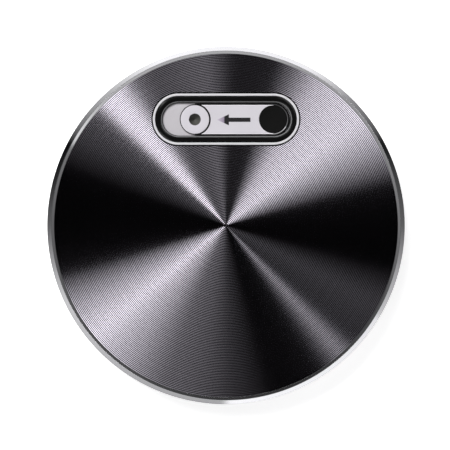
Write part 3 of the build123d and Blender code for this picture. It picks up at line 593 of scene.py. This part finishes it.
# the carrier's end reaches 0.4 mm past the pad so that its dull black paints shade over the track's floor
# there
SOLE_R, SOLE_SHADE_SHIFT = TRACK_R - 0.1, 0.4 * MM
SOLE_Z = (SLIDER_STEP - 0.45, SLIDER_STEP - 0.1)
HORN_X = 0.2 * MM             # the bar's long edges end here beside the pad, and the pad's own rim begins
CUT_LENGTH, CUT_HALF_WIDTH = 12 * MM, 9 * MM
CUT_OVER = 1.0                # mm, how far a cutter passes the slider above and below


def beyond(x, side):
    """Builder of a block over the slider that reaches from x to well past its end, on one side."""
    def build(bm):
        ends = (x, x + side * CUT_LENGTH)
        sides = (WINDOW_Y - CUT_HALF_WIDTH, WINDOW_Y + CUT_HALF_WIDTH)
        levels = ((SLIDER_STEP - CUT_OVER) * MM, (SLIDER_HIGH + CUT_OVER) * MM)
        corners = [bm.verts.new((a, b, c)) for a in ends for b in sides for c in levels]
        for quad in ((0, 1, 3, 2), (4, 6, 7, 5), (0, 4, 5, 1), (2, 3, 7, 6), (0, 2, 6, 4), (1, 5, 7, 3)):
            bm.faces.new([corners[i] for i in quad])
    return build


def slider_bar():
    """Satin bar with bevelled long edges, cut round for the cap at one end and the pad at the other; the
    bevels take a lighter copy of the bar's material, a painted highlight.
    """
    top = [(BAR_R, SLIDER_STEP), (BAR_R, SLIDER_HIGH - BAR_BEVEL[1]), (BAR_R - BAR_BEVEL[0], SLIDER_HIGH)]
    low, high = SLIDER_STEP - CUT_OVER, SLIDER_HIGH + CUT_OVER
    cap_cut = turned(in_mm([(CAP_R + CAP_GAP, low), (CAP_R + CAP_GAP, high)]), CAP_X, BAR_Y, 128)
    pad_cut = turned(in_mm([(PAD_SEAT_R, low), (PAD_SEAT_R, high)]), PAD_X, WINDOW_Y, 128)
    piece("slider_bar", pill_solid(in_mm(top), BAR_X, BAR_Y, BAR_STRAIGHT), "slider_silver", "slider",
          ["slider_plate"], [cap_cut, pad_cut, beyond(CAP_X + 1.0 * MM, -1), beyond(PAD_X + HORN_X, 1)],
          bevel_highlight="bevel_highlight_silver")


def slider_cap():
    """Ring-shaped cap with a rounded outer edge, and a dark cup in its hole."""
    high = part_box("slider_cap")[1][2] / MM
    profile = [(CAP_R, SLIDER_STEP), (CAP_R, high), (CAP_HOLE_R, high), (CAP_HOLE_R, SLIDER_STEP)]
    piece("cap_ring", lathe(in_mm(rounded(profile, {1: 0.18, 2: 0.1})), CAP_X, BAR_Y, 128), "slider_silver",
          "slider", ["slider_cap"])
    cup_r = CAP_HOLE_R - 0.01
    low = SLIDER_STEP - 0.2
    cup = [(cup_r, low), (cup_r, high - 0.15), (0.02, low + 0.05), (0.02, low)]
    piece("cap_cup", lathe(in_mm(cup), CAP_X, BAR_Y, 96), "cup_grey", "slider")


def thumb_pad():
    """Dished black pad inside a thin grey rim, and under it the carrier's round end, shifted out past the
    pad: its dull black is painted shade over the track's floor beyond the pad.
    """
    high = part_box("thumb_pad")[1][2] / MM
    edge = PAD_SEAT_R - 0.04
    # dull black carrier end, shifted past the pad: painted shade
    sole_shade = turned(in_mm([(SOLE_R, z) for z in SOLE_Z]), PAD_X + SOLE_SHADE_SHIFT, WINDOW_Y, 128)
    piece("sole_end_shade", sole_shade, "pad_black", "slider")
    dish = []
    for i in range(DISH_STEPS + 1):
        out = 1 - i / DISH_STEPS
        dish.append((edge * out + 0.02, high - DISH_DEPTH * (1 - out ** 2)))
    outline = [(edge, SLIDER_STEP), (edge, high - 0.05)] + [(dish[0][0] - 0.06, high)] + dish[2:]
    outline.append((0.02, SLIDER_STEP))
    piece("pad_dish", lathe(in_mm(outline), PAD_X, WINDOW_Y, 128), "pad_black", "slider", ["thumb_pad"])
    rim = [(PAD_RIM_OUT, SLIDER_STEP), (PAD_RIM_OUT, high - PAD_RIM_DROP), (PAD_RIM_IN, high),
           (PAD_RIM_IN, SLIDER_STEP)]
    piece("pad_rim", lathe(in_mm(rim), PAD_X, WINDOW_Y, 128), "polished_rim", "slider",
          cuts=[beyond(PAD_X + HORN_X, -1)])


# ---------------------------------------------------------------- return spring of the slider
SPRING_WIRE, SPRING_TURNS = 0.15 * MM, 12       # the wire's radius, and the coil's turns


def return_spring():
    """Wire coil between its seat in the lid and the latch plate, built at one length: the real coil closes up
    as the slider moves.
    """
    low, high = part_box("slider_spring")
    _, y, z = centre_of("slider_spring")
    radius = (high[2] - low[2]) / 2 - SPRING_WIRE
    start, length = low[0] + SPRING_WIRE, high[0] - low[0] - 2 * SPRING_WIRE
    steps, sides = 24, 12

    def build(bm):
        around = [2 * pi * k / sides for k in range(sides)]
        loops = []
        for i in range(SPRING_TURNS * steps + 1):
            turn = 2 * pi * i / steps
            out = Vector((0, cos(turn), sin(turn)))
            middle = Vector((start + length * turn / (2 * pi * SPRING_TURNS), y, z)) + out * radius
            spots = [middle + (out * cos(a) + Vector((sin(a), 0, 0))) * SPRING_WIRE for a in around]
            loops.append([bm.verts.new(spot) for spot in spots])
        join_loops(bm, loops, closed=False)
        bm.faces.new(loops[0])
        bm.faces.new(loops[-1])
    coil = piece("return_spring", build, "spring_steel", "lid", ["slider_spring"], sharp=radians(60))
    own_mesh(coil)


spun_plate()
rim_ring()
window_frame()
well_tray()
slider_bar()
slider_cap()
thumb_pad()
return_spring()

# ---------------------------------------------------------------- floor, lights and camera
FLOOR_SIZE = 12.0
FLOOR_GLOW = 0.72


def floor():
    """Plain pale floor under the feet. The object's metal mirrors the studio's walls in place of it."""
    half = FLOOR_SIZE / 2
    mesh = bpy.data.meshes.new("floor")
    corners = [(-half, -half, 0), (half, -half, 0), (half, half, 0), (-half, half, 0)]
    mesh.from_pydata(corners, [], [(0, 1, 2, 3)])
    material, _, shader, _ = new_material("floor")
    shader.inputs["Base Color"].default_value = rgb(0.8)
    shader.inputs["Roughness"].default_value = 0.9
    shader.inputs["Specular IOR Level"].default_value = 0.0
    shader.inputs["Emission Color"].default_value = rgb(1.0)
    shader.inputs["Emission Strength"].default_value = FLOOR_GLOW
    mesh.materials.append(material)
    plane = bpy.data.objects.new("floor", mesh)
    plane.visible_diffuse = plane.visible_glossy = plane.visible_shadow = False
    bpy.context.scene.collection.objects.link(plane)


# Walls of light round the studio, seen only in reflections. Each has the elevations between which it shows,
# how softly it ends, its full brightness, and its share of that by azimuth, all angles in degrees. Two stops
# side by side are the edge of a black flag. The two walls at the horizon have the shares in HORIZON.
HORIZON = (
    (0, 0.11), (26, 0.01), (29, 0.01), (30, 0.05), (45, 0.27), (62, 0.9), (112, 1.0), (130, 0.5), (150, 0.06),
    (152, 0.0), (165, 0.02), (180, 0.11), (205, 0.6), (240, 0.42), (269, 0.38), (271, 1.0), (328, 0.8),
    (330, 0.55), (345, 0.35), (360, 0.11))
WALLS = (
    (-90, -30, 3, 0.62, HORIZON),
    (-30, 17, 1, 1.1, HORIZON),
    (17, 38, 2, 0.75, (
        (0, 0.17), (90, 0.05), (120, 0.055), (150, 0.11), (180, 0.24), (240, 0.5), (270, 0.6), (312, 0.6),
        (327, 1.0), (331, 0.93), (333, 0.25), (360, 0.17))),
    (58, 80, 5, 3.6, (
        (0, 0.0), (15, 0.0), (22, 0.2), (38, 0.84), (48, 0.76), (57, 0.62), (65, 0.2), (72, 0.01), (88, 0.01),
        (97, 0.13), (116, 0.08), (123, 0.16), (129, 1.0), (135, 1.0), (138, 0.08), (160, 0.0), (197, 0.0),
        (207, 0.4), (220, 0.94), (226, 0.64), (240, 0.26), (247, 0.14), (262, 0.09), (272, 0.035), (285, 0.0),
        (304, 0.0), (308, 0.08), (312, 0.3), (317, 0.02), (333, 0.05), (345, 0.0), (360, 0.0))),
)


def studio():
    """World that the camera sees as plain white, and every reflection as the walls of light."""
    world = bpy.data.worlds.new("studio")
    bpy.context.scene.world = world
    world.use_nodes = True
    nodes = Nodes(world.node_tree)
    direction = nodes.add("ShaderNodeTexCoord").outputs["Generated"]
    x, y, z = nodes.add("ShaderNodeSeparateXYZ", {"Vector": direction}).outputs
    turn = nodes.math("FRACT", nodes.math("DIVIDE", nodes.math("ARCTAN2", y, x), 2 * pi))
    height = nodes.math("DIVIDE", nodes.math("ARCSINE", z), pi / 180)

    def step(low, high):
        return nodes.add("ShaderNodeMapRange", {"Value": height, "From Min": low, "From Max": high},
                         interpolation_type="SMOOTHSTEP").outputs[0]

    total = 0.0
    for low, high, fade, brightness, stops in WALLS:
        shown = nodes.math("MULTIPLY", step(low - fade, low + fade), step(high + fade, high - fade))
        along = nodes.ramp(turn, [(azimuth / 360, share) for azimuth, share in stops])
        lit = nodes.math("MULTIPLY", nodes.math("MULTIPLY", along, shown), brightness)
        total = nodes.math("ADD", total, lit)
    path = nodes.add("ShaderNodeLightPath").outputs["Is Camera Ray"]
    reflected = nodes.add("ShaderNodeBackground", {"Color": (1, 1, 1, 1), "Strength": total})
    seen = nodes.add("ShaderNodeBackground", {"Color": (1, 1, 1, 1), "Strength": 1.0})
    mixed = nodes.add("ShaderNodeMixShader", {0: path, 1: reflected, 2: seen})
    nodes.add("ShaderNodeOutputWorld", {"Surface": mixed})


def soft_light(name, energy, size, at, glossy=False):
    """Square lamp aimed at the object; by default it lights matt surfaces and isn't mirrored in the metal."""
    lamp = bpy.data.lights.new(name, "AREA")
    lamp.energy, lamp.size = energy, size
    holder = bpy.data.objects.new(name, lamp)
    holder.location = at
    holder.rotation_euler = (-Vector(at)).to_track_quat("-Z", "Y").to_euler()
    holder.visible_glossy = glossy
    holder.visible_camera = False
    bpy.context.scene.collection.objects.link(holder)


LENS_MM, SENSOR_MM = 300.0, 36.0
VIEW_WIDTH = 170.95 * MM
VIEW_X, VIEW_Y = -0.38 * MM, 0.19 * MM


def camera():
    """Long lens looking straight down."""
    data = bpy.data.cameras.new("camera")
    data.lens, data.sensor_width = LENS_MM, SENSOR_MM
    distance = VIEW_WIDTH * LENS_MM / SENSOR_MM
    holder = bpy.data.objects.new("camera", data)
    holder.location = (VIEW_X, VIEW_Y, OBJECT_TOP + distance)
    data.clip_start, data.clip_end = 0.05, 50.0
    bpy.context.scene.collection.objects.link(holder)
    bpy.context.scene.camera = holder


floor()
studio()
soft_light("key", 23.0, 0.7, (-0.4, 0.6, 1.3))
soft_light("under", 5.0, 1.2, (0.1, -0.2, -1.3))
camera()
bpy.context.scene.view_settings.view_transform = "Standard"
